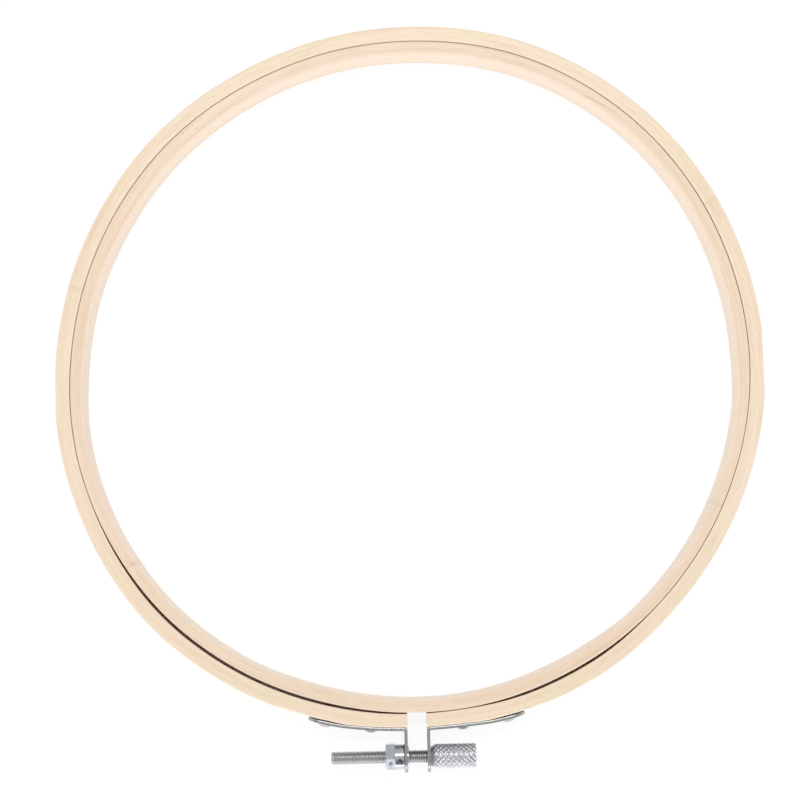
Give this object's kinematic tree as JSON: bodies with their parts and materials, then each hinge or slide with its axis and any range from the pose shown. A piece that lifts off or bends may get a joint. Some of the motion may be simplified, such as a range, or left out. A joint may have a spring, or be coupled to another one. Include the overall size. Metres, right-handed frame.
{
  "type": "embroidery hoop",
  "caption": "Round wooden hand embroidery hoop: closed inner ring in a split outer ring drawn tight by a screw with a cross-knurled thumb knob through two riveted brackets.",
  "frame": {"origin": "centre of the hoop's round opening, halfway up its height", "axes": "+Z along the hoop's axis, up from the surface it lies on; -Y towards the clamp; +X along the screw towards the knob"},
  "size_m": [0.2092, 0.2221, 0.01],
  "materials": {
    "inner_wood": "pale bamboo wood, sanded, satin",
    "outer_wood": "pale bamboo wood, sanded, satin",
    "bracket_metal": "nickelled sheet steel, satin",
    "rivet_metal": "nickelled steel, satin",
    "nut_metal": "bright nickel plate",
    "rod_metal": "zinc plated thread",
    "knob_metal": "nickel plate, cross knurled"
  },
  "bodies": {
    "outer_hoop": {"outer_ring": "outer_wood", "left_bracket": "bracket_metal", "left_rivet_near": "rivet_metal", "left_rivet_far": "rivet_metal", "clamp_nut": "nut_metal"},
    "right_end": {"right_bracket": "bracket_metal", "right_rivet_near": "rivet_metal", "right_rivet_far": "rivet_metal"},
    "clamp_screw": {"screw_rod": "rod_metal", "thumb_knob": "knob_metal"},
    "inner_hoop": {"inner_ring": "inner_wood"}
  },
  "joints": [
    {"name": "mouth_open", "type": "slide", "parent": "outer_hoop", "child": "right_end", "axis": [1, 0, 0], "range_m": [0, 0.014], "deforming": ["outer_ring"]},
    {"name": "knob_turn", "type": "hinge", "parent": "right_end", "child": "clamp_screw", "pos_m": [0, -0.113, 0], "axis": [1, 0, 0], "range_deg": [0, 7200]},
    {"name": "inner_ring_lift", "type": "slide", "parent": "outer_hoop", "child": "inner_hoop", "axis": [0, 0, 1], "range_m": [0, 0.02]}
  ],
  "couplings": [
    {"joint": "knob_turn", "follows": "mouth_open", "rad_per_m": 8976}
  ]
}
